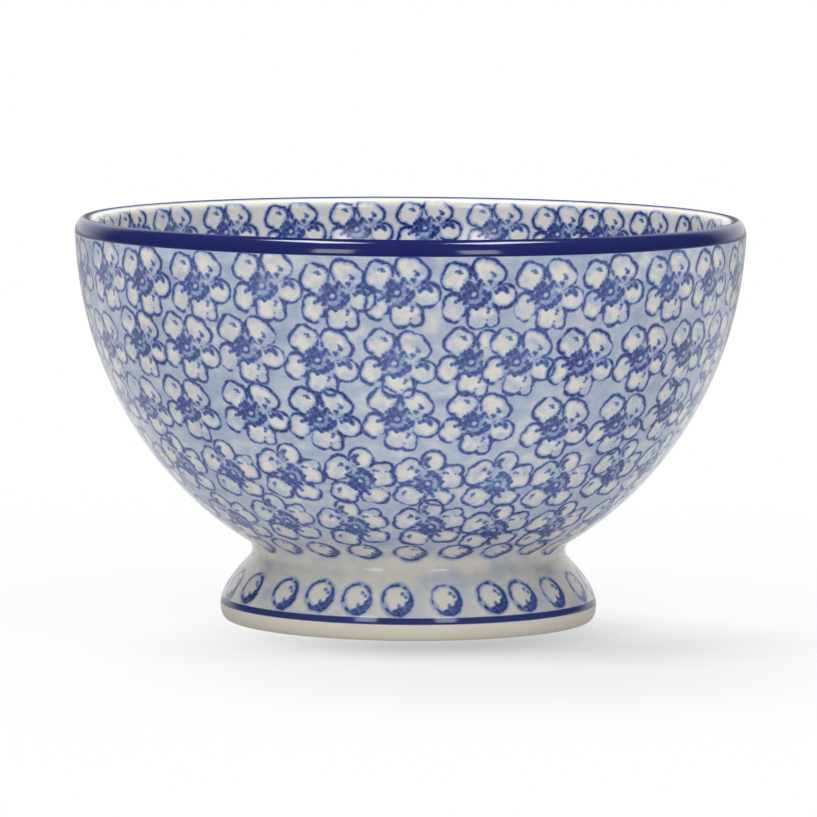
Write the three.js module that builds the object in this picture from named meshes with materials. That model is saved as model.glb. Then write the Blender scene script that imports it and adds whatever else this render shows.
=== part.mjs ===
// Footed bowl: a deep stoneware bowl on a low, flared, hollow foot.
//
// The bowl is jiggered over a round mould, the foot is thrown as a separate ring, and the two are
// luted together with a ring of slip on a conical seat. All three pieces are turned about +Z.
// Millimetres, +Z up, origin at the middle of the foot ring's contact plane.

import * as THREE from 'three';

// Driving dimensions of the bowl
const RIM_DIAMETER = 160;        // across the outside of the lip
const OVERALL_HEIGHT = 96;       // table to the top of the lip
const WALL_DEPTH = 88;           // depth of the outer wall's half ellipse below the lip, on the axis
const LIP_THICKNESS = 4.8;       // wall at the lip, which is a full round
const FLOOR_THICKNESS = 7;       // middle of the bowl's floor
const UNDERSIDE_DROP = 4;        // how far the turned underside sinks below the seat's inner edge

// Driving dimensions of the luted joint
const NECK_DIAMETER = 75;        // waist between the bowl and the flare of the foot
const NECK_FILLET = 3;           // hollow round at the waist, left by the sponge
const SLIP_THICKNESS = 0.8;      // fired slip between the two seats

// Driving dimensions of the foot
const FOOT_DIAMETER = 90;        // widest place, just above the table
const FOOT_WALL = 6;             // thickness of the ring, measured along the radius
const FOOT_SHOULDER_HEIGHT = 7.8;  // where the flare and the upright edge would meet
const FOOT_EDGE_HEIGHT = 3.4;    // height of the rounded outer edge
const FOOT_EDGE_WIDTH = 1.6;     // how far that edge draws in at the table
const FOOT_INNER_ROUND = 1.4;    // round on the inside of the contact ring

// Fineness of the facets
const SEGMENTS = 72;
const WALL_STEPS = 14;
const LIP_STEPS = 6;
const SMALL_ROUND_STEPS = 4;
const FLARE_STEPS = 6;

const RIGHT_ANGLE = Math.PI / 2;

const rimRadius = RIM_DIAMETER / 2;
const lipRadius = LIP_THICKNESS / 2;
const lipHeight = OVERALL_HEIGHT - lipRadius;
const neckRadius = NECK_DIAMETER / 2;
const footRadius = FOOT_DIAMETER / 2;

// A point of a profile: distance from the axis, height above the table
const at = (radius, height) => new THREE.Vector2(radius, height);

// The point reached from another one by going a distance at an angle above the horizontal
const along = (start, angle, distance) =>
  at(start.x + distance * Math.cos(angle), start.y + distance * Math.sin(angle));

// An arc of an ellipse, clockwise where the end angle is the smaller one
const arc = (centre, radiusX, radiusY, start, end) =>
  new THREE.EllipseCurve(centre.x, centre.y, radiusX, radiusY, start, end, end < start);

// The outer wall is a quarter of an ellipse about the middle of the rim plane. The waist's fillet
// touches it where the wall's slope and the fillet's slope agree, which a few rounds settle.
const SLOPE_ROUNDS = 12;
let seatSlope = 0;
let shoulderRadius = neckRadius;
for (let round = 0; round < SLOPE_ROUNDS; round += 1) {
  shoulderRadius = neckRadius + NECK_FILLET * (1 - Math.sin(seatSlope));
  const ratio = shoulderRadius / rimRadius;
  seatSlope = Math.atan((WALL_DEPTH / rimRadius) * ratio / Math.sqrt(1 - ratio * ratio));
}
const rimCentre = at(0, OVERALL_HEIGHT);
const outerWall = arc(
  rimCentre, rimRadius, WALL_DEPTH,
  -Math.acos(shoulderRadius / rimRadius), -Math.asin(lipRadius / WALL_DEPTH));

// The joint: the bowl's conical seat runs on from the end of its outer wall, and the foot's top is
// parallel to it, one slip thickness below, from the waist's fillet to the inside of the ring.
const seatOuter = outerWall.getPoint(0);
const filletCentre = along(seatOuter, seatSlope - RIGHT_ANGLE, NECK_FILLET);
const slipTopAngle = RIGHT_ANGLE + seatSlope;
const slipBottomAngle = slipTopAngle + Math.acos(1 - SLIP_THICKNESS / NECK_FILLET);
const footTopOuter = along(filletCentre, slipBottomAngle, NECK_FILLET);
const footTopInner = along(footTopOuter, Math.PI + seatSlope, FOOT_WALL / Math.cos(seatSlope));
const seatInner = along(footTopInner, slipTopAngle, SLIP_THICKNESS);

// Heights of the underside and the floor follow from the joint
const undersideHeight = seatInner.y - UNDERSIDE_DROP;
const undersideRound = UNDERSIDE_DROP / (1 - Math.cos(seatSlope));
const undersideFlat = at(seatInner.x - undersideRound * Math.sin(seatSlope), undersideHeight);
const floorDepth = OVERALL_HEIGHT - (undersideHeight + FLOOR_THICKNESS);

// Turns a profile about the axis. Each stretch is a curve and its number of steps, and ends where
// the next one starts. The profile runs anticlockwise, so the faces point out of the clay.
function turned(name, colour, stretches, end) {
  const profile = stretches.flatMap(([curve, steps]) => curve.getPoints(steps).slice(0, -1));
  const geometry = new THREE.LatheGeometry([...profile, end], SEGMENTS);
  geometry.rotateX(RIGHT_ANGLE);
  const material = new THREE.MeshStandardMaterial({ color: colour, roughness: 0.15, metalness: 0 });
  const mesh = new THREE.Mesh(geometry, material);
  mesh.name = name;
  return mesh;
}

const line = (start, end) => [new THREE.LineCurve(start, end), 1];

// Bowl: flat underside, rounded up to the conical seat, outer wall, full-round lip, inner wall
function bowlBody() {
  const onAxis = at(0, undersideHeight);
  const lipCentre = at(rimRadius - lipRadius, lipHeight);
  const undersideCentre = at(undersideFlat.x, undersideHeight + undersideRound);
  const innerRadius = rimRadius - LIP_THICKNESS;
  const innerStart = -Math.asin(lipRadius / floorDepth);
  return turned('bowl_body', 0x9ba5bb, [
    line(onAxis, undersideFlat),
    [arc(undersideCentre, undersideRound, undersideRound, -RIGHT_ANGLE, seatSlope - RIGHT_ANGLE),
      SMALL_ROUND_STEPS],
    line(seatInner, seatOuter),
    [outerWall, WALL_STEPS],
    [arc(lipCentre, lipRadius, lipRadius, 0, Math.PI), LIP_STEPS],
    [arc(rimCentre, innerRadius, floorDepth, innerStart, -RIGHT_ANGLE), WALL_STEPS],
  ], at(0, OVERALL_HEIGHT - floorDepth));
}

// Slip: a thin conical ring between the two seats, sponged to a hollow round on the outside
function slipSeam() {
  return turned('slip_seam', 0xb9bcc2, [
    line(footTopInner, footTopOuter),
    [arc(filletCentre, NECK_FILLET, NECK_FILLET, slipBottomAngle, slipTopAngle), SMALL_ROUND_STEPS],
    line(seatOuter, seatInner),
    line(seatInner, footTopInner),
  ], footTopInner);
}

// Foot: contact ring, rounded edge, flare up to the waist, conical top, inside parallel to the flare
function pedestalFoot() {
  const edgeCentre = at(footRadius - FOOT_EDGE_WIDTH, FOOT_EDGE_HEIGHT);
  const widest = at(footRadius, FOOT_EDGE_HEIGHT);
  const shoulder = at(footRadius, FOOT_SHOULDER_HEIGHT);
  const insideRadius = footRadius - FOOT_WALL;
  const insideShoulder = at(insideRadius, FOOT_SHOULDER_HEIGHT);
  const insideEdge = at(insideRadius, FOOT_EDGE_HEIGHT);
  const roundCentre = at(insideRadius + FOOT_INNER_ROUND, FOOT_INNER_ROUND);
  const contactInner = at(roundCentre.x, 0);
  const contactOuter = at(edgeCentre.x, 0);

  // The flare touches the waist's fillet on the tangent that leaves the shoulder point
  const reach = shoulder.clone().sub(filletCentre);
  const bearing = Math.atan2(reach.y, reach.x) + 2 * Math.PI;
  const flareAngle = bearing - Math.acos(NECK_FILLET / reach.length());
  const flareTop = along(filletCentre, flareAngle, NECK_FILLET);

  return turned('pedestal_foot', 0xa9adb8, [
    line(contactInner, contactOuter),
    [arc(edgeCentre, FOOT_EDGE_WIDTH, FOOT_EDGE_HEIGHT, -RIGHT_ANGLE, 0), SMALL_ROUND_STEPS],
    [new THREE.QuadraticBezierCurve(widest, shoulder, flareTop), FLARE_STEPS],
    [arc(filletCentre, NECK_FILLET, NECK_FILLET, flareAngle, slipBottomAngle), SMALL_ROUND_STEPS],
    line(footTopOuter, footTopInner),
    [new THREE.QuadraticBezierCurve(footTopInner, insideShoulder, insideEdge), FLARE_STEPS],
    line(insideEdge, at(insideRadius, FOOT_INNER_ROUND)),
    [arc(roundCentre, FOOT_INNER_ROUND, FOOT_INNER_ROUND, 2 * RIGHT_ANGLE, 3 * RIGHT_ANGLE),
      SMALL_ROUND_STEPS],
  ], contactInner);
}

const footedBowl = new THREE.Group();
footedBowl.add(bowlBody(), slipSeam(), pedestalFoot());

export default footedBowl;
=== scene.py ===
import math
import random

import bpy
import numpy as np
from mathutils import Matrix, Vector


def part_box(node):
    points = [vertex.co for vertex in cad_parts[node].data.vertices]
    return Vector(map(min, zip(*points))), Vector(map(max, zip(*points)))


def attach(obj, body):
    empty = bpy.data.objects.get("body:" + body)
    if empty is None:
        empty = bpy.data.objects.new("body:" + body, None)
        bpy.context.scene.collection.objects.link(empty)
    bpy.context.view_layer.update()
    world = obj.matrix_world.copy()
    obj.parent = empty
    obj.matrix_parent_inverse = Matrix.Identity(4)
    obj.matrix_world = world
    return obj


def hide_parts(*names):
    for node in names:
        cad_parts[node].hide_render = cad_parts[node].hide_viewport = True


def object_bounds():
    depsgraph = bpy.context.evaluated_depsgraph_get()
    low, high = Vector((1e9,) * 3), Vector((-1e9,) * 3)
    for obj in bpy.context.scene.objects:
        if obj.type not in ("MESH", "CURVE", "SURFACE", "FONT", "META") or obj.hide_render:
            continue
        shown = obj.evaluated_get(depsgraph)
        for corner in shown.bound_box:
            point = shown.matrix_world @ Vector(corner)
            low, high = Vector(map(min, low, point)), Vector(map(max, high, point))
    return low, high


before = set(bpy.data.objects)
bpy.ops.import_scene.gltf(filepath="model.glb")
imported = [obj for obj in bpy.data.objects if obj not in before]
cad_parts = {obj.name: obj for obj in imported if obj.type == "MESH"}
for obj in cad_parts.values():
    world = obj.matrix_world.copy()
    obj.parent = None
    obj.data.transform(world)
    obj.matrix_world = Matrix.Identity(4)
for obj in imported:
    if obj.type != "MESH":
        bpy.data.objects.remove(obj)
cad_low, cad_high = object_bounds()
MM = 0.001

# Bowl: a deep stoneware bowl, jiggered over a round mould, with a full lip and a conical seat underneath.
# It is sponged with a thin cobalt wash, stamped all over with five-petalled blossoms and banded round the
# lip in the same cobalt, and then dipped in a clear glossy glaze.
RIM_RADIUS = cad_high.x
RIM_HEIGHT = cad_high.z
WALL_DEPTH = 88 * MM          # the outer wall is half an ellipse this deep, about the rim plane
LIP_THICKNESS = 4.8 * MM
LIP_OUTER_RISE = 3.7 * MM     # height of the lip's rounding, outside and inside
LIP_INNER_RISE = 2.8 * MM
FLOOR_THICKNESS = 7.0 * MM
NECK_FILLET = 3.0 * MM        # hollow round at the waist
SLIP_THICKNESS = 0.8 * MM
FOOT_WALL = 6.0 * MM
WALL_STEP = 1.0 * MM          # spacing of the rings on the walls
FINE_STEP = 0.35 * MM         # spacing of the rings on the lip and other small rounds


def along(start, angle, distance):
    """The point of a profile that lies a distance away at an angle above the horizontal."""
    return start[0] + distance * math.cos(angle), start[1] + distance * math.sin(angle)


def arc(centre, radii, start, end, step):
    """Points on an arc of an ellipse in the radius-height plane, about one step apart."""
    count = max(3, math.ceil(abs(end - start) * max(radii) / step))
    angles = [start + (end - start) * i / count for i in range(count + 1)]
    return [(centre[0] + radii[0] * math.cos(a), centre[1] + radii[1] * math.sin(a)) for a in angles]


def straight(start, end, step):
    """Points on a straight stretch of a profile, about one step apart."""
    count = max(1, math.ceil(math.dist(start, end) / step))
    shares = [i / count for i in range(count + 1)]
    return [(start[0] + (end[0] - start[0]) * s, start[1] + (end[1] - start[1]) * s) for s in shares]


def joined(*stretches):
    """One profile from stretches that each start where the last one ended."""
    profile = list(stretches[0])
    for stretch in stretches[1:]:
        profile += stretch[1:]
    return profile


def linear(hex_colour):
    """An sRGB hex colour as the linear colour that a shader socket takes."""
    channels = [int(hex_colour[i:i + 2], 16) / 255 for i in (1, 3, 5)]
    return [c / 12.92 if c <= 0.04045 else ((c + 0.055) / 1.055) ** 2.4 for c in channels] + [1.0]


def add(tree, kind, inputs=None, **settings):
    """Adds a node with its settings, and sets or links its inputs by name or by place."""
    node = tree.nodes.new(kind)
    for name, value in settings.items():
        setattr(node, name, value)
    usable = [socket for socket in node.inputs if socket.enabled]
    for key, value in (inputs or {}).items():
        socket = usable[key] if isinstance(key, int) else next(s for s in usable if s.name == key)
        if isinstance(value, bpy.types.Node):
            value = next(out for out in value.outputs if out.enabled)
        if isinstance(value, bpy.types.NodeSocket):
            tree.links.new(value, socket)
        else:
            socket.default_value = value
    return node


# The wheel: a grid whose columns are copies of the profile, each turned a little further round the axis
SEGMENTS = 256
CRISP_EDGE = math.radians(35)
MERGE_DISTANCE = 0.001 * MM   # closes the seam and the poles
wheel = bpy.data.node_groups.new("turned_on_the_wheel", "GeometryNodeTree")
wheel.interface.new_socket("Profile", in_out="INPUT", socket_type="NodeSocketGeometry")
segments_input = wheel.interface.new_socket("Segments", in_out="INPUT", socket_type="NodeSocketInt")
finish_input = wheel.interface.new_socket("Finish", in_out="INPUT", socket_type="NodeSocketMaterial")
wheel.interface.new_socket("Piece", in_out="OUTPUT", socket_type="NodeSocketGeometry")
given = add(wheel, "NodeGroupInput")
size = add(wheel, "GeometryNodeAttributeDomainSize", {0: given.outputs["Profile"]}, component="MESH")
points = size.outputs["Point Count"]
columns = add(wheel, "ShaderNodeMath", {0: given.outputs["Segments"], 1: 1.0}, operation="ADD")
grid = add(wheel, "GeometryNodeMeshGrid", {"Vertices X": columns, "Vertices Y": points})
index = add(wheel, "GeometryNodeInputIndex")
row = add(wheel, "ShaderNodeMath", {0: index, 1: points}, operation="MODULO")
column = add(wheel, "ShaderNodeMath", {0: index, 1: points}, operation="DIVIDE")
column = add(wheel, "ShaderNodeMath", {0: column}, operation="FLOOR")
turn = add(wheel, "ShaderNodeMath", {0: column, 1: given.outputs["Segments"]}, operation="DIVIDE")
turn = add(wheel, "ShaderNodeMath", {0: turn, 1: math.tau}, operation="MULTIPLY")
position = add(wheel, "GeometryNodeInputPosition")
on_profile = add(wheel, "GeometryNodeSampleIndex", {0: given.outputs["Profile"], 1: position, 2: row},
                 data_type="FLOAT_VECTOR", domain="POINT")
turned = add(wheel, "ShaderNodeVectorRotate", {"Vector": on_profile, "Angle": turn}, rotation_type="Z_AXIS")
shaped = add(wheel, "GeometryNodeSetPosition", {"Geometry": grid.outputs["Mesh"], "Position": turned})
mapped = add(wheel, "GeometryNodeStoreNamedAttribute",
             {"Geometry": shaped, "Name": "OFBake", "Value": grid.outputs["UV Map"]},
             data_type="FLOAT2", domain="CORNER")
closed = add(wheel, "GeometryNodeMergeByDistance", {"Geometry": mapped, "Distance": MERGE_DISTANCE})
smooth = add(wheel, "GeometryNodeSetShadeSmooth", {"Geometry": closed})
fold = add(wheel, "GeometryNodeInputMeshEdgeAngle")
gentle = add(wheel, "FunctionNodeCompare", {0: fold, 1: CRISP_EDGE}, data_type="FLOAT", operation="LESS_THAN")
creased = add(wheel, "GeometryNodeSetShadeSmooth", {"Geometry": smooth, "Shade Smooth": gentle},
              domain="EDGE")
real = add(wheel, "GeometryNodeRealizeInstances", {"Geometry": creased})
coated = add(wheel, "GeometryNodeSetMaterial", {"Geometry": real, "Material": given.outputs["Finish"]})
add(wheel, "NodeGroupOutput", {0: coated})


def turn_piece(name, profile, finish):
    """A closed mesh turned from a profile that runs anticlockwise round the clay, in the XZ plane."""
    outline = bpy.data.meshes.new(name + "_outline")
    outline.from_pydata([(radius, 0, height) for radius, height in profile], [], [])
    piece = bpy.data.objects.new(name, outline)
    bpy.context.scene.collection.objects.link(piece)
    modifier = piece.modifiers.new("wheel", "NODES")
    modifier.node_group = wheel
    modifier[segments_input.identifier] = SEGMENTS
    modifier[finish_input.identifier] = finish
    evaluated = piece.evaluated_get(bpy.context.evaluated_depsgraph_get())
    mesh = bpy.data.meshes.new_from_object(evaluated)
    piece.modifiers.remove(modifier)
    piece.data = mesh
    bpy.data.meshes.remove(outline)
    mesh.materials.pop(index=0)   # the outline's own slot, which is empty
    mesh.name = name
    return piece


# Corners of the luted joint: the bowl's seat runs on from its wall, with the slip and the foot below it
seat_outer = (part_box("slip_seam")[1].x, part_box("slip_seam")[1].z)
seat_ratio = seat_outer[0] / RIM_RADIUS
SEAT_SLOPE = math.atan(WALL_DEPTH / RIM_RADIUS * seat_ratio / math.sqrt(1 - seat_ratio ** 2))
fillet_centre = along(seat_outer, SEAT_SLOPE - math.pi / 2, NECK_FILLET)
slip_top_angle = math.pi / 2 + SEAT_SLOPE
slip_bottom_angle = slip_top_angle + math.acos(1 - SLIP_THICKNESS / NECK_FILLET)
foot_top_outer = along(fillet_centre, slip_bottom_angle, NECK_FILLET)
foot_top_inner = along(foot_top_outer, math.pi + SEAT_SLOPE, FOOT_WALL / math.cos(SEAT_SLOPE))
seat_inner = along(foot_top_inner, slip_top_angle, SLIP_THICKNESS)

# Outline of the bowl, from the middle of its underside up the outside, over the lip and down to its floor
underside_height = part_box("bowl_body")[0].z
underside_round = (seat_inner[1] - underside_height) / (1 - math.cos(SEAT_SLOPE))
underside_flat = (seat_inner[0] - underside_round * math.sin(SEAT_SLOPE), underside_height)
rim_centre = (0, RIM_HEIGHT)
inner_radius = RIM_RADIUS - LIP_THICKNESS
floor_height = underside_height + FLOOR_THICKNESS
floor_depth = RIM_HEIGHT - floor_height
lip_radius = LIP_THICKNESS / 2
outer_wall = arc(rim_centre, (RIM_RADIUS, WALL_DEPTH), -math.acos(seat_ratio),
                 -math.asin(LIP_OUTER_RISE / WALL_DEPTH), WALL_STEP)
lip_middle = outer_wall[-1][0] - lip_radius
inner_wall = arc(rim_centre, (inner_radius, floor_depth), -math.asin(LIP_INNER_RISE / floor_depth),
                 -math.pi / 2, WALL_STEP)
lip_outside = arc((lip_middle, RIM_HEIGHT - LIP_OUTER_RISE), (lip_radius, LIP_OUTER_RISE),
                  0, math.pi / 2, FINE_STEP)
lip_inside = arc((lip_middle, RIM_HEIGHT - LIP_INNER_RISE), (lip_middle - inner_wall[0][0], LIP_INNER_RISE),
                 math.pi / 2, math.pi, FINE_STEP)
bowl_profile = joined(
    straight((0, underside_height), underside_flat, 4 * WALL_STEP),
    arc((underside_flat[0], underside_height + underside_round), (underside_round, underside_round),
        -math.pi / 2, SEAT_SLOPE - math.pi / 2, 2 * WALL_STEP),
    straight(seat_inner, seat_outer, 2 * WALL_STEP), outer_wall, lip_outside, lip_inside, inner_wall)

# Rows of stamps on the outside. Each row has its height, how far the stamp was turned in the hand, how many
# stamps go round, and where those on the front landed: degrees from the front, millimetres above the row.
OUTER_ROWS = [
    (83.8, 0, 28, [(-51.3, 0.3), (-38.4, 0.2), (-25.2, 1.1), (-12.9, -0.7), (-2.2, 0.3), (10.5, -0.1),
                   (22.9, -0.5), (35.3, -0.2), (48.6, -0.1)]),
    (68.0, -11, 28, [(-55.2, 1.5), (-42.3, 1.5), (-29.4, 2.0), (-16.1, 0.1), (-2.7, -0.3), (10.6, 0.0),
                     (18.7, -0.1), (31.0, -0.8), (44.6, -0.7)]),
    (54.0, -11, 25, [(-46.7, 0.5), (-31.0, 0.7), (-17.0, 0.1), (-2.3, 0.5), (12.2, -0.6), (28.7, -2.3),
                     (43.7, -2.5)]),
    (39.0, 89, 23, [(-41.7, 0.3), (-26.1, 0.6), (-10.5, 0.2), (4.1, -0.3), (19.7, -0.8), (34.9, -1.7)]),
    (27.0, 101, 18, [(-34.1, 0.7), (-14.3, 0.2), (5.8, 0.5), (23.9, -0.8), (43.8, -1.2)]),
]
# Rows on the inside, of which only the far side of the first one shows from the front
INNER_ROWS = [
    (88.4, 0, 27, [(115.1, -0.8), (128.6, -0.8), (141.0, -0.7), (150.8, -0.8), (163.8, -0.4), (177.3, -0.1),
                   (190.4, -0.4), (203.5, -0.7), (217.6, -0.4), (231.6, -0.3)], (0.92, 0.88)),
    (71.9, -12, 26, [(183.0, 0.0)]),
    (56.2, -12, 24, [(176.0, 0.0)]),
    (43.1, 89, 20, [(186.0, 0.0)]),
    (32.3, 101, 16, [(178.0, 0.0)]),
    (24.2, 101, 11, [(180.0, 0.0)]),
    (19.2, 101, 6, [(200.0, 0.0)]),
]
TURN_SLACK = 3.0              # degrees that a hand strays from the row's turn
PLACE_SLACK = 0.8             # degrees round the row
RISE_SLACK = 0.6              # millimetres up or down
OVERLAP = 12 * MM             # a print closer than this to an earlier one covers it
COVERED = 8.3 * MM            # as far as this from its own middle
OUT_OF_REACH = 0.25           # a stamp misses faces that are turned away so far, as a cosine
INNER_LOAD = 0.55             # more ink on the stamps inside, where one unit is the whole range outside
hand = random.Random(11)


def stamp_row(wall, facing, height, turned_by, count, front, stretched=(1.0, 1.0)):
    """The stamps of a row: middle, rightward and upward directions, and the load of ink, which is a matter of
    chance. Facing is 1 on a wall that is seen from outside and -1 on one seen from inside. Stamps that the
    front list leaves out fill the rest of the round at equal gaps, as straight as a hand puts them. Stretched
    is how much wider and taller than the stamp its print is."""
    places = list(front)
    left = count - len(front)
    gap = (front[0][0] + 360 - front[-1][0]) / (left + 1)
    for number in range(left):
        degrees = front[-1][0] + gap * (number + 1) + hand.uniform(-PLACE_SLACK, PLACE_SLACK)
        places.append((degrees, hand.uniform(-RISE_SLACK, RISE_SLACK)))
    radii, heights = np.array(sorted(wall, key=lambda point: point[1])).T
    stamps = []
    for degrees, rise in places:
        bearing = math.radians(degrees)
        level = (height + rise) * MM
        radius, below, above = np.interp([level, level - MM, level + MM], heights, radii)
        outward = np.array([math.sin(bearing), -math.cos(bearing), 0])
        right = facing * np.array([math.cos(bearing), math.sin(bearing), 0])
        up = (above - below) * outward + np.array([0, 0, 2 * MM])
        up /= np.linalg.norm(up)
        spin = math.radians(turned_by + hand.uniform(-TURN_SLACK, TURN_SLACK))
        middle = radius * outward + np.array([0, 0, level])
        load = hand.random() + (INNER_LOAD if facing < 0 else 0)
        stamps.append((middle, (math.cos(spin) * right + math.sin(spin) * up) / stretched[0],
                       (math.cos(spin) * up - math.sin(spin) * right) / stretched[1], load))
    return stamps


def press_stamps(piece, name, stamps, layers, overlap=0):
    """Writes where each face lies in its nearest stamps, in millimetres from each stamp's middle, and the
    stamp's load. A face that is turned away from a stamp gets a place far outside it, and so does the part of
    a print that the next one covers, where their middles are closer than the overlap."""
    far_away = (99, 99, 0)
    unreached = 1             # metres, more than any distance on the bowl
    mesh = piece.data
    faces = len(mesh.polygons)
    corners = np.empty(len(mesh.loops), int)
    mesh.loops.foreach_get("vertex_index", corners)
    vertices = np.empty(len(mesh.vertices) * 3)
    mesh.vertices.foreach_get("co", vertices)
    spots = vertices.reshape(-1, 3)[corners]
    middles = np.empty(faces * 3)
    mesh.polygons.foreach_get("center", middles)
    middles = middles.reshape(-1, 3)
    normals = np.empty(faces * 3)
    mesh.polygons.foreach_get("normal", normals)
    normals = normals.reshape(-1, 3)
    sizes = np.empty(faces, int)
    mesh.polygons.foreach_get("loop_total", sizes)
    owner = np.repeat(np.arange(faces), sizes)
    centres, rights, ups, loads = (np.array(column) for column in zip(*stamps))
    distance = np.linalg.norm(middles[:, None, :] - centres[None, :, :], axis=2)
    distance[normals @ np.cross(rights, ups).T < OUT_OF_REACH] = unreached
    for later in range(1, len(stamps)):
        if np.linalg.norm(centres[later] - centres[later - 1]) < overlap:
            distance[distance[:, later] < COVERED, later - 1] = unreached
    nearest = np.argsort(distance, axis=1)[:, :layers]
    missed = np.take_along_axis(distance, nearest, axis=1) >= unreached
    for layer in range(layers):
        stamp = nearest[owner, layer]
        offset = (spots - centres[stamp]) / MM
        across = (offset * rights[stamp]).sum(1)
        upward = (offset * ups[stamp]).sum(1)
        local = np.stack([across, upward, loads[stamp]], axis=1)
        local[missed[owner, layer]] = far_away
        attribute = mesh.attributes.new(f"{name}_{layer + 1}", "FLOAT_VECTOR", "CORNER")
        attribute.data.foreach_set("vector", local.astype(np.float32).ravel())


# The blossom stamp, cut from sponge, in millimetres about the pale eye of the blossom. Dabs are given by
# their middle and radius. Each petal is a cluster of dabs that is drawn only along its outline.
PETALS = [
    [(2.1, 6.0, 2.35), (3.9, 5.6, 2.25), (5.4, 4.4, 2.2), (3.4, 5.0, 3.0)],
    [(-4.5, 5.6, 1.9), (-5.4, 3.4, 2.05), (-2.7, 4.9, 2.1), (-3.6, 2.7, 2.2),
     (-4.1, 4.2, 2.9)],
    [(-4.9, -1.7, 2.1), (-5.4, -3.6, 1.95), (-4.5, -4.4, 1.9), (-4.5, -3.1, 2.6)],
    [(0.8, -5.7, 2.5), (4.1, -6.3, 1.6), (3.9, -4.5, 1.75), (0.5, -4.2, 2.1), (2.4, -4.8, 2.3),
     (1.5, -5.0, 2.5)],
    [(7.1, -0.75, 2.8), (6.4, -0.75, 2.75)],
]
# Where the outlines are left open towards the eye, and where the cut is heavy
OPEN_SPOTS = [(0.2, 0.0, 3.0), (2.4, 3.5, 1.4), (4.2, 2.6, 1.3), (3.8, -0.6, 1.6), (1.2, -2.4, 1.5),
              (3.1, -2.7, 1.0), (-2.7, -5.9, 0.8), (-2.1, -2.0, 0.9), (-1.8, 2.4, 1.3)]
HEAVY_SPOTS = [(-0.5, 5.0, 1.5), (-4.2, 0.6, 1.2), (-1.4, -5.8, 1.6), (0.6, -8.2, 1.4), (5.5, -4.0, 0.8)]
STAMENS = [(0.0, 0.0, 1.35), (-1.0, 2.5, 0.95), (-1.9, 2.2, 0.7), (1.6, 3.0, 0.65), (1.0, 2.2, 0.75),
           (2.3, 2.2, 0.5), (-2.7, 1.5, 0.6), (-1.7, 1.0, 1.15), (0.6, 1.4, 0.85), (-0.3, 1.6, 0.85),
           (2.4, 0.3, 0.75), (3.5, -0.1, 0.7), (3.4, -0.8, 0.8), (2.5, -1.6, 0.9), (1.7, -2.4, 0.85),
           (0.5, -2.9, 0.8), (-0.5, -2.6, 0.75), (-1.9, -1.8, 0.75), (-3.0, -0.6, 0.8), (-1.9, -0.4, 1.15)]
DABS = [(-3.2, 5.2, 0.6), (-3.9, 5.5, 0.4), (-2.6, 4.9, 0.3), (-1.2, 5.5, 0.4), (-1.05, 4.2, 0.4),
        (4.8, 4.1, 0.75), (4.3, 4.7, 0.4), (3.9, 2.7, 0.75), (5.3, 0.3, 0.65), (6.0, 0.9, 0.8),
        (6.8, 1.1, 0.9), (7.5, 0.7, 0.8), (7.8, 0.1, 0.55), (3.4, -3.5, 0.55), (3.2, -4.2, 0.45),
        (3.0, -6.1, 0.3), (-4.2, -1.55, 0.55), (-3.5, -1.1, 0.6)]
# Where some of the wash stays in the petals
STAINS = [(-4.6, 6.4, 1.9), (-6.2, 4.6, 1.2), (6.3, 4.6, 1.9), (4.6, 3.0, 1.3), (7.0, 1.4, 1.9),
          (4.6, -6.2, 1.8), (-6.0, -1.2, 1.5), (0.0, 0.0, 3.3)]
EYE = (0.35, 0.8)             # the pale eye fades out between these radii
LINE_HALF_WIDTH = 0.41
HEAVY_HALF_WIDTH = 0.5
UNEVEN = 0.16                 # how far a badly pressed print thins or thickens its lines
EDGE_WAVE = 1.2               # length of the small waves in every outline
EDGE_SWING = 0.5              # how far they swing, from end to end
PORE = 0.9                    # size of the sponge's pores
PRESSURE_PATCH = 3.2          # size of the places where a print is pressed well or badly
BLEED = 1.0                   # how far the cobalt bleeds from a line into the glaze
BLOT = 0.9                    # size of the blots that make the dabs irregular
BLOT_SWING = 0.9              # how far a dab's edge strays with them, from end to end
LINE_INK = 0.84               # strength of each part of a print
STAMEN_INK = 0.79
DAB_INK = 0.8
BLEED_INK = 0.3
TUFT_HAZE = 0.42
EYE_INK = 0.3                 # share of the ink that is left in the eye
LINE_EDGE = (-0.36, 0.34)     # how each part fades across its edge, from inside to outside
STAMEN_EDGE = (-0.3, 0.26)
DAB_EDGE = (-0.5, 0.35)
OPEN_EDGE = (-0.5, 0.5)
HEAVY_EDGE = (-0.8, 0.6)
HAZE_REACH = (2.2, 4.0)       # the haze round the eye fades out between these radii
MOTTLE = (0.82, 1.06)         # share of the ink between the pores and on them
WORN_INK = 0.6                # share of the ink where a print is pressed badly
LIGHT_LOAD, FULL_LOAD = 0.86, 1.06
PRINT_SPACING = 70            # keeps the chance patterns of two prints apart
LEFT_WASH = (0.75, 0.1)       # share of the wash left in petals, where a print is pressed badly and well
STAIN_WASH = 0.85             # and in the stains
STAIN_EDGE = (-1.2, 0.6)
PETAL_EDGE = (-0.9, 0.15)     # the wash ends across this edge of a petal


def nearest_dab(tree, drawn, dabs, blend):
    """Distance to the edge of the nearest of a list of dabs, negative inside one. Near dabs flow together."""
    nearest = None
    for across, up, radius in dabs:
        gap = add(tree, "ShaderNodeVectorMath", {0: drawn, 1: (across, up, 0)}, operation="DISTANCE")
        gap = add(tree, "ShaderNodeMath", {0: gap.outputs["Value"], 1: radius}, operation="SUBTRACT")
        if nearest is None:
            nearest = gap
        else:
            nearest = add(tree, "ShaderNodeMath", {0: nearest, 1: gap, 2: blend}, operation="SMOOTH_MIN")
    return nearest


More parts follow.
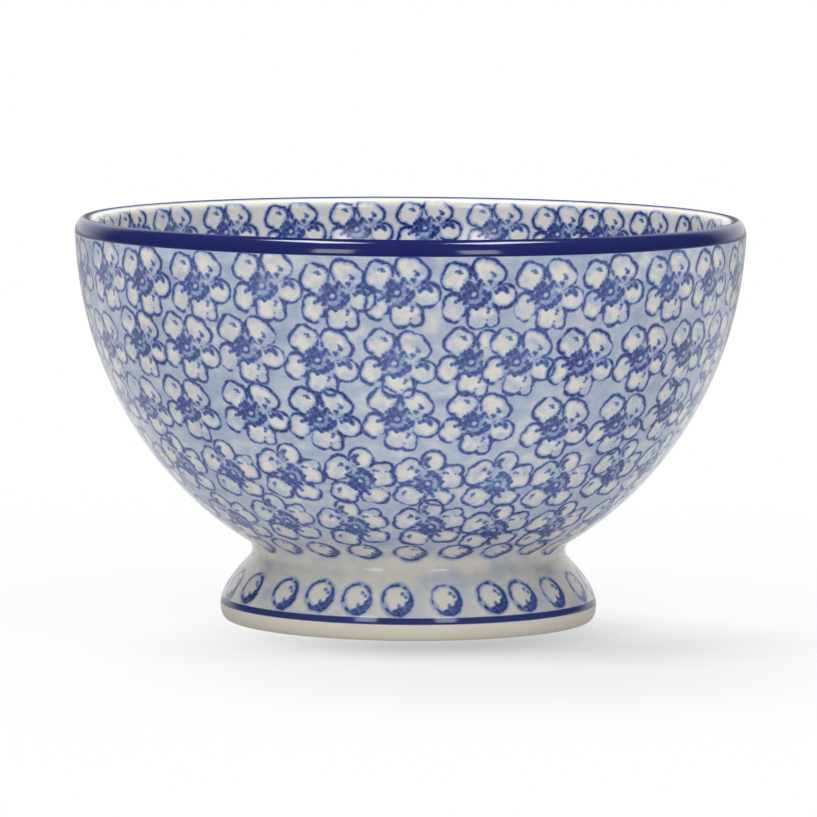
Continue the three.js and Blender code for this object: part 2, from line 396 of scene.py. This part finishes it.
def fade(tree, value, start, end, first=1.0, last=0.0):
    """A smooth change from a first to a last number while a value goes from a start to an end."""
    ends = {"Value": value, "From Min": start, "From Max": end, "To Min": first, "To Max": last}
    return add(tree, "ShaderNodeMapRange", ends, interpolation_type="SMOOTHSTEP")


def cut_stamp(name, petals, open_spots, heavy_spots, stamens, dabs, stains, eye):
    """A stamp as a shader group. From a place in the stamp, in millimetres, and the load of the print, it
    gives the strength of the ink, and how much of the wash is left where the petals were kept clear of it."""
    tree = bpy.data.node_groups.new(name, "ShaderNodeTree")
    tree.interface.new_socket("Place", in_out="INPUT", socket_type="NodeSocketVector")
    tree.interface.new_socket("Ink", in_out="OUTPUT", socket_type="NodeSocketFloat")
    tree.interface.new_socket("Wash", in_out="OUTPUT", socket_type="NodeSocketFloat")
    place = add(tree, "NodeGroupInput").outputs["Place"]
    parts = add(tree, "ShaderNodeSeparateXYZ", {0: place})
    flat = add(tree, "ShaderNodeCombineXYZ", {0: parts.outputs[0], 1: parts.outputs[1]})
    print_place = add(tree, "ShaderNodeVectorMath", {0: place, 1: (1, 1, PRINT_SPACING)},
                      operation="MULTIPLY")

    # A hand's small waves, and the outlines of the petals
    strayed = []
    for length, swing in ((EDGE_WAVE, EDGE_SWING), (BLOT, BLOT_SWING)):
        wave = add(tree, "ShaderNodeTexNoise", {"Vector": flat, "Scale": 1 / length, "Detail": 2.0})
        wave = add(tree, "ShaderNodeVectorMath", {0: wave.outputs["Color"], 1: (0.5, 0.5, 0.5)},
                   operation="SUBTRACT")
        wave = add(tree, "ShaderNodeVectorMath", {0: wave, 1: (swing, swing, 0)}, operation="MULTIPLY")
        strayed.append(add(tree, "ShaderNodeVectorMath", {0: flat, 1: wave}, operation="ADD"))
    drawn, blotted = strayed
    edge = inside = None
    for petal in petals:
        gap = nearest_dab(tree, drawn, petal, 0.45)
        outline = add(tree, "ShaderNodeMath", {0: gap}, operation="ABSOLUTE")
        if edge is None:
            edge, inside = outline, gap
        else:
            edge = add(tree, "ShaderNodeMath", {0: edge, 1: outline}, operation="MINIMUM")
            inside = add(tree, "ShaderNodeMath", {0: inside, 1: gap}, operation="MINIMUM")

    # Lines, thicker where the cut is heavy, and thin or broken where the sponge was pressed badly
    pressure = add(tree, "ShaderNodeTexNoise",
                   {"Vector": print_place, "Scale": 1 / PRESSURE_PATCH, "Detail": 2.0})
    heavy = nearest_dab(tree, drawn, heavy_spots, 0.25)
    width = fade(tree, heavy, *HEAVY_EDGE, HEAVY_HALF_WIDTH, LINE_HALF_WIDTH)
    strays = fade(tree, pressure, 0.3, 0.7, -UNEVEN, UNEVEN)
    width = add(tree, "ShaderNodeMath", {0: width, 1: strays}, operation="ADD")
    from_line = add(tree, "ShaderNodeMath", {0: edge, 1: width}, operation="SUBTRACT")
    line = fade(tree, from_line, *LINE_EDGE, LINE_INK, 0.0)
    bled = fade(tree, from_line, -0.1, BLEED, BLEED_INK, 0.0)
    closed = fade(tree, nearest_dab(tree, drawn, open_spots, 0.25), *OPEN_EDGE, 0.0, 1.0)
    line = add(tree, "ShaderNodeMath", {0: line, 1: closed}, operation="MULTIPLY")
    line = add(tree, "ShaderNodeMath", {0: line, 1: bled}, operation="MAXIMUM")

    # Stamens round the eye, mottled by the sponge's pores, and the dabs
    pores = add(tree, "ShaderNodeTexNoise", {"Vector": flat, "Scale": 1 / PORE, "Detail": 1.0})
    tuft = fade(tree, nearest_dab(tree, blotted, stamens, 0.3), *STAMEN_EDGE, STAMEN_INK, 0.0)
    mottle = fade(tree, pores, 0.35, 0.6, *MOTTLE)
    from_eye = add(tree, "ShaderNodeVectorMath", {0: drawn}, operation="LENGTH").outputs["Value"]
    if eye:
        haze = fade(tree, from_eye, *HAZE_REACH, TUFT_HAZE, 0.0)
        tuft = add(tree, "ShaderNodeMath", {0: tuft, 1: haze}, operation="MAXIMUM")
        pale_eye = fade(tree, from_eye, *eye, EYE_INK, 1.0)
        tuft = add(tree, "ShaderNodeMath", {0: tuft, 1: pale_eye}, operation="MULTIPLY")
    touches = fade(tree, nearest_dab(tree, blotted, dabs, 0.2), *DAB_EDGE, DAB_INK, 0.0)
    ink = add(tree, "ShaderNodeMath", {0: line, 1: tuft}, operation="MAXIMUM")
    ink = add(tree, "ShaderNodeMath", {0: ink, 1: touches}, operation="MAXIMUM")
    ink = add(tree, "ShaderNodeMath", {0: ink, 1: mottle}, operation="MULTIPLY")
    worn = fade(tree, pressure, 0.26, 0.46, WORN_INK, 1.0)
    loaded = add(tree, "ShaderNodeMapRange",
                 {"Value": parts.outputs[2], "To Min": LIGHT_LOAD, "To Max": FULL_LOAD}, clamp=False)
    worn = add(tree, "ShaderNodeMath", {0: worn, 1: loaded}, operation="MULTIPLY")
    ink = add(tree, "ShaderNodeMath", {0: ink, 1: worn}, operation="MULTIPLY")

    # The petals are clear of the wash, apart from what was left in them by a careless hand
    left = fade(tree, pressure, 0.3, 0.68, *LEFT_WASH)
    stained = fade(tree, nearest_dab(tree, drawn, stains, 0.4), *STAIN_EDGE, STAIN_WASH, 0.0)
    wash = fade(tree, inside, *PETAL_EDGE, 0.0, 1.0)
    wash = add(tree, "ShaderNodeMath", {0: wash, 1: left}, operation="MAXIMUM")
    wash = add(tree, "ShaderNodeMath", {0: wash, 1: stained}, operation="MAXIMUM")
    add(tree, "NodeGroupOutput", {"Ink": ink, "Wash": wash})
    return tree


blossom = cut_stamp("blossom_stamp", PETALS, OPEN_SPOTS, HEAVY_SPOTS, STAMENS, DABS, STAINS, EYE)

# The petal stamps: one oval petal, heavy along its right side and at its lower right, open at its lower left.
# The foot has the heavier stamp and the waist a lighter one with the same outline.
LONE_PETAL = [(-0.2, 0.75, 3.1), (0.3, -0.75, 3.15), (-0.1, 0.0, 3.3)]
LONE_OPEN = [(0.9, 3.9, 0.45), (-2.9, -1.7, 0.7)]
LONE_HEAVY = [(3.3, -0.6, 2.2), (2.0, -3.3, 1.8)]
LONE_FILL = [(0.9, -2.9, 1.1), (2.0, -2.5, 1.1), (2.8, -1.2, 1.0), (3.1, 0.2, 0.65), (-0.3, -3.1, 0.65)]
LONE_DABS = [(1.1, 1.5, 0.6), (1.9, 0.7, 0.5), (2.3, 1.9, 0.3), (0.5, -1.6, 0.4)]
LONE_STAINS = [(1.6, 2.6, 1.2), (2.2, -1.6, 1.8)]
WAIST_FILL = [(1.4, -3.1, 0.95), (2.6, -2.1, 0.95), (3.1, -0.6, 0.7)]
WAIST_DABS = [(0.9, 1.9, 0.55), (1.7, 1.4, 0.4), (1.6, -1.4, 0.5), (0.2, -2.4, 0.4)]
petal_stamp = cut_stamp("petal_stamp", [LONE_PETAL], LONE_OPEN, LONE_HEAVY, LONE_FILL, LONE_DABS, LONE_STAINS,
                        None)
waist_stamp = cut_stamp("waist_petal_stamp", [LONE_PETAL], LONE_OPEN, LONE_HEAVY, WAIST_FILL, WAIST_DABS,
                        LONE_STAINS, None)

# Glazed stoneware: cream slip painted with cobalt and dipped in clear glaze, fired till it runs smooth. The
# cobalt goes from a grey-blue haze to nearly black-blue with the strength of its coat, its edges bleed a
# little, and over it lie small clear highlights that waver where the glaze ripples.
# The first stop shows only on the foot's cream edge below its line. It is paler than the cream elsewhere,
# partly the slip's own colour and partly painted light in place of the light that the table throws up onto
# the edge.
COBALT = [(0.0, "#EBE3D2"), (0.03, "#D9D5CC"), (0.2, "#ABB5C6"), (0.45, "#7284AF"), (0.65, "#4E5F97"),
          (0.86, "#343F76"), (1.0, "#1A2058")]
WASH_STRENGTH = 0.2           # on the wall outside
FOOT_WASH = 0.07              # on the foot
INNER_WASH = 0.08
WASH_SPREAD = 0.7             # how far the wash strays from its strength, as a share of it, on the wall
FOOT_SPREAD = 1.5             # and on the foot
WAIST = (16 * MM, 30 * MM)    # heights between which one passes into the other
TRACE = 0.03                  # the glaze takes up this much cobalt everywhere
GLAZE_IOR = 1.5
GLAZE_ROUGHNESS = 0.1
WASH_PATCH = 7 * MM           # size of the paler patches in the wash
WIPE_MARK = 2.4 * MM          # width of the marks left by wiping it round
WIPED_ROUND = (0.3, 0.3, 1.0)
GLAZE_RIPPLE = 7 * MM         # length of the glaze's slow ripples
RIPPLE_HEIGHT = 0.1 * MM
RIPPLE_STRENGTH = 0.1


def glazed_stoneware(name, stamps, banded, even_wash=None):
    """Stoneware with cobalt under a clear glaze, which is glossy and ripples a little. Stamps lists attribute
    names, each with the stamp that it places. Banded adds solid bands to the strength of the coat, or is
    None. The wash is as strong as on the outside, unless an even strength is given."""
    material = bpy.data.materials.new(name)
    material.use_nodes = True
    tree = material.node_tree
    tree.nodes.clear()
    place = add(tree, "ShaderNodeTexCoord").outputs["Object"]
    patches = add(tree, "ShaderNodeTexNoise", {"Vector": place, "Scale": 1 / WASH_PATCH, "Detail": 3.0,
                                               "Roughness": 0.6})
    marks = add(tree, "ShaderNodeMapping", {"Vector": place, "Scale": WIPED_ROUND})
    marks = add(tree, "ShaderNodeTexNoise", {"Vector": marks, "Scale": 1 / WIPE_MARK, "Detail": 3.0})
    wash = add(tree, "ShaderNodeMath", {0: marks, 1: 0.5, 2: patches}, operation="MULTIPLY_ADD")
    strays = add(tree, "ShaderNodeMapRange",
                 {"Value": wash, "From Min": 0.5, "From Max": 1.0, "To Min": -1.0})
    base, spread = even_wash, WASH_SPREAD
    if even_wash is None:
        height = add(tree, "ShaderNodeSeparateXYZ", {0: place}).outputs[2]
        base = fade(tree, height, *WAIST, FOOT_WASH, WASH_STRENGTH)
        spread = fade(tree, height, *WAIST, FOOT_SPREAD, WASH_SPREAD)
    strength = add(tree, "ShaderNodeMath", {0: strays, 1: spread, 2: 1.0}, operation="MULTIPLY_ADD")
    strength = add(tree, "ShaderNodeMath", {0: strength, 1: base}, operation="MULTIPLY")
    ink = spared = None
    for attribute, group in stamps:
        spot = add(tree, "ShaderNodeAttribute", attribute_name=attribute).outputs["Vector"]
        stamp = add(tree, "ShaderNodeGroup", node_tree=group)
        tree.links.new(spot, stamp.inputs["Place"])
        if ink is None:
            ink, spared = stamp.outputs["Ink"], stamp.outputs["Wash"]
        else:
            ink = add(tree, "ShaderNodeMath", {0: ink, 1: stamp.outputs["Ink"]}, operation="MAXIMUM")
            spared = add(tree, "ShaderNodeMath", {0: spared, 1: stamp.outputs["Wash"]}, operation="MINIMUM")
    if stamps:
        strength = add(tree, "ShaderNodeMath", {0: strength, 1: spared}, operation="MULTIPLY")
        strength = add(tree, "ShaderNodeMath", {0: strength, 1: ink}, operation="MAXIMUM")
    strength = add(tree, "ShaderNodeMath", {0: strength, 1: TRACE}, operation="MAXIMUM")
    if banded:
        strength = banded(tree, strength)
    colour = add(tree, "ShaderNodeValToRGB", {0: strength})
    stops = colour.color_ramp.elements
    while len(stops) < len(COBALT):
        stops.new(0.5)
    for stop, (coat, shade) in zip(stops, COBALT):
        stop.position = coat
        stop.color = linear(shade)
    ripple = add(tree, "ShaderNodeTexNoise", {"Vector": place, "Scale": 1 / GLAZE_RIPPLE, "Detail": 1.0})
    bump = add(tree, "ShaderNodeBump",
               {"Height": ripple, "Strength": RIPPLE_STRENGTH, "Distance": RIPPLE_HEIGHT})
    shader = add(tree, "ShaderNodeBsdfPrincipled", {"Base Color": colour, "Roughness": GLAZE_ROUGHNESS,
                                                    "IOR": GLAZE_IOR, "Normal": bump})
    add(tree, "ShaderNodeOutputMaterial", {"Surface": shader})
    return material


def height_and_radius(tree):
    """Height above the table and distance from the axis, in metres."""
    place = add(tree, "ShaderNodeTexCoord").outputs["Object"]
    height = add(tree, "ShaderNodeSeparateXYZ", {0: place}).outputs[2]
    across = add(tree, "ShaderNodeVectorMath", {0: place, 1: (1, 1, 0)}, operation="MULTIPLY")
    return height, add(tree, "ShaderNodeVectorMath", {0: across}, operation="LENGTH").outputs["Value"]


LIP_BAND_STRENGTH = 0.99
LIP_BAND_HEIGHT = 92.3 * MM   # lower edge of the lip's cobalt band, on the outside
LIP_BAND_RADIUS = 76.6 * MM   # where the band thins out, just inside the top of the lip
LIP_CLEAR = 94.6 * MM         # where prints thin out on the lip's rounding inside
BAND_EDGE = 0.12 * MM         # softness of these three places, to either side
BAND_INNER_EDGE = 0.5 * MM
PRINT_EDGE = 0.8 * MM


def lip_band(tree, strength):
    """The coat with the band over the lip's top and outside, which has soft edges."""
    height, radius = height_and_radius(tree)
    outside = fade(tree, height, LIP_BAND_HEIGHT - BAND_EDGE, LIP_BAND_HEIGHT + BAND_EDGE,
                   0.0, LIP_BAND_STRENGTH)
    inside = fade(tree, radius, LIP_BAND_RADIUS - BAND_INNER_EDGE, LIP_BAND_RADIUS + BAND_INNER_EDGE,
                  0.0, 1.0)
    band = add(tree, "ShaderNodeMath", {0: outside, 1: inside}, operation="MULTIPLY")
    taken = fade(tree, height, LIP_CLEAR - PRINT_EDGE, LIP_CLEAR + PRINT_EDGE, 1.0, 0.0)
    strength = add(tree, "ShaderNodeMath", {0: strength, 1: taken}, operation="MULTIPLY")
    return add(tree, "ShaderNodeMath", {0: strength, 1: band}, operation="MAXIMUM")


# The row of petals at the waist, whose prints are a little wider and lower than the stamp
PETAL_ROW = (20.4, 12, 24, [(-44.6, 0.0), (-29.6, 0.0), (-14.6, 0.1), (0.4, -0.1), (15.4, 0.1), (30.4, 0.0),
                            (45.4, 0.0)], (1.05, 0.86))
FLOOR_LOAD = 0.8              # load of the one blossom in the middle of the floor
bowl_stamps = [("blossom_1", blossom), ("blossom_2", blossom), ("blossom_3", blossom),
               ("petal_1", waist_stamp)]
bowl_finish = glazed_stoneware("glazed_stoneware_blossoms", bowl_stamps, lip_band)
inner_finish = glazed_stoneware("glazed_stoneware_inside", bowl_stamps[:3], lip_band, INNER_WASH)
plain_finish = glazed_stoneware("glazed_stoneware_plain", [], None)
bowl = turn_piece("bowl_glazed", bowl_profile, bowl_finish)
blossoms = [stamp for numbers in OUTER_ROWS for stamp in stamp_row(outer_wall, 1, *numbers)]
blossoms += [stamp for numbers in INNER_ROWS for stamp in stamp_row(inner_wall, -1, *numbers)]
blossoms.append((np.array([0, 0, floor_height]), np.array([1.0, 0, 0]), np.array([0, 1.0, 0]), FLOOR_LOAD))
petals = stamp_row(outer_wall, 1, *PETAL_ROW)
press_stamps(bowl, "blossom", blossoms, 3, OVERLAP)
press_stamps(bowl, "petal", petals, 1)
bowl.data.materials.append(plain_finish)
bowl.data.materials.append(inner_finish)

# The underside and the seat are plain, and faces that look towards the axis have the finish of the inside
for face in bowl.data.polygons:
    if face.normal.z < 0 and face.center.z < seat_outer[1] and math.hypot(*face.center[:2]) < seat_outer[0]:
        face.material_index = 1
    elif face.normal.dot(face.center) - face.normal.z * face.center.z < 0:
        face.material_index = 2
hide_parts("bowl_body")
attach(bowl, "root")

# Slip seam: the thin conical ring of slip that lutes the foot to the bowl. It is sponged to a hollow round at
# the waist, washed with the same cobalt, and carries the lower ends of the row of petals.
seam_finish = glazed_stoneware("glazed_stoneware_washed", [("petal_1", waist_stamp)], None)
seam_profile = joined(
    straight(foot_top_inner, foot_top_outer, 2 * WALL_STEP),
    arc(fillet_centre, (NECK_FILLET, NECK_FILLET), slip_bottom_angle, slip_top_angle, FINE_STEP),
    straight(seat_outer, seat_inner, 2 * WALL_STEP),
    straight(seat_inner, foot_top_inner, FINE_STEP))
seam = turn_piece("seam_glazed", seam_profile, seam_finish)
press_stamps(seam, "petal", petals, 1)
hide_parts("slip_seam")
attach(seam, "root")

# Foot: a low flared ring, thrown by itself and hollow underneath. Petals are stamped round its flare over the
# wash, a cobalt line runs above its cream edge, and the ring that it stands on is wiped bare.
FOOT_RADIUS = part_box("pedestal_foot")[1].x
FOOT_SHOULDER_HEIGHT = 7.8 * MM
FOOT_EDGE_HEIGHT = 3.4 * MM
FOOT_EDGE_WIDTH = 1.6 * MM
FOOT_INNER_ROUND = 1.4 * MM
FOOT_LINE = (3.95 * MM, 5.45 * MM)     # lower and upper edge of the cobalt line
FOOT_LINE_EDGE = 0.15 * MM    # softness of both, to either side
FOOT_LINE_STRENGTH = 0.87
FOOT_PETALS = (9.6, 0, 25, [(-60.5, 0.0), (-43.0, 0.0), (-29.3, 0.3), (-16.4, 0.0), (-3.5, 0.0), (12.0, 0.0),
                            (27.5, 0.2), (39.0, 0.0), (53.0, 0.0), (70.0, 0.0)])


def bezier(start, control, end, step):
    """Points on a quadratic curve of a profile, about one step apart."""
    count = max(4, math.ceil((math.dist(start, control) + math.dist(control, end)) / step))
    shares = [i / count for i in range(count + 1)]
    return [tuple((1 - s) ** 2 * a + 2 * s * (1 - s) * b + s * s * c for a, b, c in zip(start, control, end))
            for s in shares]


shoulder = (FOOT_RADIUS, FOOT_SHOULDER_HEIGHT)
widest = (FOOT_RADIUS, FOOT_EDGE_HEIGHT)
inside_radius = FOOT_RADIUS - FOOT_WALL
inside_shoulder = (inside_radius, FOOT_SHOULDER_HEIGHT)
inside_edge = (inside_radius, FOOT_EDGE_HEIGHT)
edge_centre = (FOOT_RADIUS - FOOT_EDGE_WIDTH, FOOT_EDGE_HEIGHT)
round_centre = (inside_radius + FOOT_INNER_ROUND, FOOT_INNER_ROUND)
contact_inner = (round_centre[0], 0.0)
contact_outer = (edge_centre[0], 0.0)
reach = math.dist(shoulder, fillet_centre)
bearing = math.atan2(shoulder[1] - fillet_centre[1], shoulder[0] - fillet_centre[0]) + math.tau
flare_angle = bearing - math.acos(NECK_FILLET / reach)
flare_top = along(fillet_centre, flare_angle, NECK_FILLET)
flare = bezier(widest, shoulder, flare_top, 0.5 * WALL_STEP)
foot_profile = joined(
    straight(contact_inner, contact_outer, WALL_STEP),
    arc(edge_centre, (FOOT_EDGE_WIDTH, FOOT_EDGE_HEIGHT), -math.pi / 2, 0, FINE_STEP),
    flare,
    arc(fillet_centre, (NECK_FILLET, NECK_FILLET), flare_angle, slip_bottom_angle, FINE_STEP),
    straight(foot_top_outer, foot_top_inner, 2 * WALL_STEP),
    bezier(foot_top_inner, inside_shoulder, inside_edge, WALL_STEP),
    straight(inside_edge, (inside_radius, FOOT_INNER_ROUND), WALL_STEP),
    arc(round_centre, (FOOT_INNER_ROUND, FOOT_INNER_ROUND), math.pi, 1.5 * math.pi, FINE_STEP))


def foot_line(tree, strength):
    """The coat with the line round the outside of the foot. The edge below it is left in cream slip, in the
    palest stop of the coat, which is partly painted light in place of light bounced up from the table.
    """
    height, _ = height_and_radius(tree)
    low, high = FOOT_LINE
    upper = fade(tree, height, high - FOOT_LINE_EDGE, high + FOOT_LINE_EDGE, FOOT_LINE_STRENGTH, 0.0)
    lower = fade(tree, height, low - FOOT_LINE_EDGE, low + FOOT_LINE_EDGE, 0.0, 1.0)
    line = add(tree, "ShaderNodeMath", {0: upper, 1: strength}, operation="MAXIMUM")
    return add(tree, "ShaderNodeMath", {0: line, 1: lower}, operation="MULTIPLY")


foot_stamps = [("petal_1", petal_stamp), ("petal_2", petal_stamp)]
foot_finish = glazed_stoneware("glazed_stoneware_petals", foot_stamps, foot_line)
foot = turn_piece("foot_glazed", foot_profile, foot_finish)

# Bare stoneware: fired clay that was wiped free of glaze, which is buff, matt and a little sandy. The grit is
# drawn at half a millimetre, coarser than the real one, so that it shows.
GRIT = 0.5 * MM
SAND_HEIGHT = 0.1 * MM
CONTACT_HEIGHT = 0.01 * MM    # faces lower than this stand on the table
bare_clay = bpy.data.materials.new("bare_stoneware")
bare_clay.use_nodes = True
tree = bare_clay.node_tree
tree.nodes.clear()
place = add(tree, "ShaderNodeTexCoord").outputs["Object"]
grit = add(tree, "ShaderNodeTexNoise", {"Vector": place, "Scale": 1 / GRIT, "Detail": 3.0})
tone = add(tree, "ShaderNodeValToRGB", {0: grit})
tone.color_ramp.elements[0].position = 0.3
tone.color_ramp.elements[0].color = linear("#B8A88E")
tone.color_ramp.elements[1].position = 0.7
tone.color_ramp.elements[1].color = linear("#CFC2AA")
sand = add(tree, "ShaderNodeBump", {"Height": grit, "Strength": 0.4, "Distance": SAND_HEIGHT})
clay = add(tree, "ShaderNodeBsdfPrincipled", {"Base Color": tone, "Roughness": 0.8, "Normal": sand})
add(tree, "ShaderNodeOutputMaterial", {"Surface": clay})
foot.data.materials.append(plain_finish)
foot.data.materials.append(bare_clay)
for face in foot.data.polygons:
    if face.center.z < CONTACT_HEIGHT:
        face.material_index = 2
    elif face.normal.dot(face.center) - face.normal.z * face.center.z < 0:
        face.material_index = 1
press_stamps(foot, "petal", stamp_row(flare, 1, *FOOT_PETALS), 2)
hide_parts("pedestal_foot")
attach(foot, "root")

# Studio: a white table, soft boxes in front and overhead, and white all round for what the camera sees.
# Matt white paper covers the table. The camera sees it white, with the bowl's soft shadow and, in front of
# the foot, a painted shadow.
TABLE_HALF = 6.0
TABLE_FRONT = -0.42           # the table ends just in front of what the camera sees
MIRRORED_TABLE = 0.45         # brightness in the glaze of the table in front
MIRRORED_BEHIND = 0.88        # and just behind the bowl
MIRRORED_FAR = 0.58           # share of that which is left far behind it
PAPER_LIT = 0.8               # share of the light that the paper sends back to the bowl
PAPER_SEEN_DARKER = 0.62             # and to the camera, darker, which paints shade where it is not whitened
PAINTED_SHADOW_MIDDLE = (0.025, -0.085, 0)     # middle of the painted shadow in front of the foot, where the paper is least whitened
PAINTED_SHADOW_REACH = (0.02, 0.11)   # distances from there between which the painted shadow is whitened away
WHITE_IN_PAINTED_SHADOW = 0.25        # share of plain white in what the camera sees, in the painted shadow's middle
WHITE_AT_FOOT = 0.92          # and round the foot elsewhere
table_corners = [(-TABLE_HALF, TABLE_FRONT, 0), (TABLE_HALF, TABLE_FRONT, 0), (TABLE_HALF, TABLE_HALF, 0),
                 (-TABLE_HALF, TABLE_HALF, 0)]
table_mesh = bpy.data.meshes.new("table")
table_mesh.from_pydata(table_corners, [], [(0, 1, 2, 3)])
table = bpy.data.objects.new("table", table_mesh)
bpy.context.scene.collection.objects.link(table)
white_paper = bpy.data.materials.new("matt_white_paper")
white_paper.use_nodes = True
tree = white_paper.node_tree
tree.nodes.clear()
rays = add(tree, "ShaderNodeLightPath")
place = add(tree, "ShaderNodeTexCoord").outputs["Object"]
distance = add(tree, "ShaderNodeVectorMath", {0: place}, operation="LENGTH").outputs["Value"]
whitened = fade(tree, distance, 0.05, 0.3, WHITE_AT_FOOT, 1.0)
# A painted shadow: round a point in front of the foot the paper is whitened less, so that its darker shade to
# the camera shows as a grey patch
from_painted_shadow = add(tree, "ShaderNodeVectorMath", {0: place, 1: PAINTED_SHADOW_MIDDLE}, operation="DISTANCE")
painted_shadow = fade(tree, from_painted_shadow.outputs["Value"], *PAINTED_SHADOW_REACH, WHITE_IN_PAINTED_SHADOW, 1.0)
whitened = add(tree, "ShaderNodeMath", {0: whitened, 1: painted_shadow}, operation="MULTIPLY")
whitened = add(tree, "ShaderNodeMath", {0: whitened, 1: rays.outputs["Is Camera Ray"]}, operation="MULTIPLY")
shade = add(tree, "ShaderNodeMix", {"Factor": rays.outputs["Is Camera Ray"], "A": PAPER_LIT, "B": PAPER_SEEN_DARKER},
            data_type="FLOAT")
paper = add(tree, "ShaderNodeBsdfDiffuse", {"Color": shade})
glow = add(tree, "ShaderNodeEmission", {"Color": (1, 1, 1, 1), "Strength": 1.0})
paper = add(tree, "ShaderNodeMixShader", {0: whitened, 1: paper, 2: glow})
# In the glaze the paper is a sheet that glows by itself, a painted reflection: dimmer in front, brightest
# just behind the bowl, fading far behind
towards_back = add(tree, "ShaderNodeSeparateXYZ", {0: place}).outputs[1]
near_glow = fade(tree, towards_back, -0.02, 0.12, MIRRORED_TABLE, MIRRORED_BEHIND)
far_off = fade(tree, towards_back, 0.22, 0.6, 1.0, MIRRORED_FAR)
mirrored_table = add(tree, "ShaderNodeMath", {0: near_glow, 1: far_off}, operation="MULTIPLY")
dim_glow = add(tree, "ShaderNodeEmission", {"Color": (1, 1, 1, 1), "Strength": mirrored_table})
paper = add(tree, "ShaderNodeMixShader", {0: rays.outputs["Is Glossy Ray"], 1: paper, 2: dim_glow})
add(tree, "ShaderNodeOutputMaterial", {"Surface": paper})
table_mesh.materials.append(white_paper)

# The room: dim and even for light, and in the glaze white only behind the bowl, low down and off the middle
AMBIENT = 0.23
MIRRORED_ROOM = 0.06          # brightness of the rest of the room in the glaze
world = bpy.data.worlds.new("studio")
bpy.context.scene.world = world
world.use_nodes = True
tree = world.node_tree
tree.nodes.clear()
rays = add(tree, "ShaderNodeLightPath")
heading = add(tree, "ShaderNodeTexCoord").outputs["Generated"]
heading = add(tree, "ShaderNodeSeparateXYZ", {0: heading})
mirrored = fade(tree, heading.outputs[1], 0.55, 0.88, MIRRORED_ROOM, 1.0)
aside = add(tree, "ShaderNodeMath", {0: heading.outputs[0]}, operation="ABSOLUTE")
above = add(tree, "ShaderNodeMath", {0: aside, 1: -2.0, 2: heading.outputs[2]}, operation="MULTIPLY_ADD")
low_down = fade(tree, above, 0.1, 0.4, 1.0, 0.1)
mirrored = add(tree, "ShaderNodeMath", {0: mirrored, 1: low_down}, operation="MULTIPLY")
off_centre = fade(tree, aside, 0.04, 0.14, 0.25, 1.0)
mirrored = add(tree, "ShaderNodeMath", {0: mirrored, 1: off_centre}, operation="MULTIPLY")
light = add(tree, "ShaderNodeMix", {"Factor": rays.outputs["Is Glossy Ray"], "A": AMBIENT, "B": mirrored},
            data_type="FLOAT")
light = add(tree, "ShaderNodeMath", {0: light, 1: rays.outputs["Is Camera Ray"]}, operation="MAXIMUM")
background = add(tree, "ShaderNodeBackground", {"Color": (1, 1, 1, 1), "Strength": light})
add(tree, "ShaderNodeOutputWorld", {"Surface": background})


def soft_box(name, bearing, elevation, distance, width, height, power):
    """A rectangular lamp, sized in metres, that looks at the bowl's middle. Bearing is in degrees from the
    front."""
    lamp = bpy.data.lights.new(name, "AREA")
    lamp.shape = "RECTANGLE"
    lamp.size = width
    lamp.size_y = height
    lamp.energy = power
    box = bpy.data.objects.new(name, lamp)
    bpy.context.scene.collection.objects.link(box)
    swing, rise = math.radians(bearing), math.radians(elevation)
    box.location = (distance * math.cos(rise) * math.sin(swing), -distance * math.cos(rise) * math.cos(swing),
                    RIM_HEIGHT / 2 + distance * math.sin(rise))
    box.rotation_euler = (math.pi / 2 - rise, 0, swing)
    box.visible_camera = False
    return box


# Two boxes low in front make the paired highlights, and two overhead light the inside and the table
soft_box("left_box", -26, 18, 1.5, 0.33, 0.46, 2.45)
soft_box("right_box", 23, 18, 1.5, 0.32, 0.46, 2.25)
soft_box("top_left_box", -69, 70, 1.5, 0.6, 0.35, 11.4)
soft_box("top_right_box", 67, 71, 1.5, 0.6, 0.35, 10.6)

# Broad fills from high in front and behind, too soft to be seen in the glaze
front_fill = soft_box("front_fill", 0, 46, 1.5, 1.0, 0.4, 5.4)
back_fill = soft_box("back_fill", 180, 40, 1.5, 1.2, 0.5, 5.0)
for fill in (front_fill, back_fill):
    fill.visible_glossy = False

# Camera: a long lens, a little above the rim and very slightly rolled, as in the photograph
CAMERA_PLACE = (0, -1.5307, 0.1976)
CAMERA_PITCH = 0.096
CAMERA_ROLL = math.radians(0.35)
CAMERA_SHIFT = -0.0013
camera_data = bpy.data.cameras.new("camera")
camera_data.sensor_width = 36
camera_data.lens = 283.6
camera_data.shift_x = CAMERA_SHIFT
camera = bpy.data.objects.new("camera", camera_data)
bpy.context.scene.collection.objects.link(camera)
camera.location = CAMERA_PLACE
camera.rotation_mode = "ZXY"
camera.rotation_euler = (math.pi / 2 - CAMERA_PITCH, 0, CAMERA_ROLL)
bpy.context.scene.camera = camera
bpy.context.scene.view_settings.view_transform = "Standard"
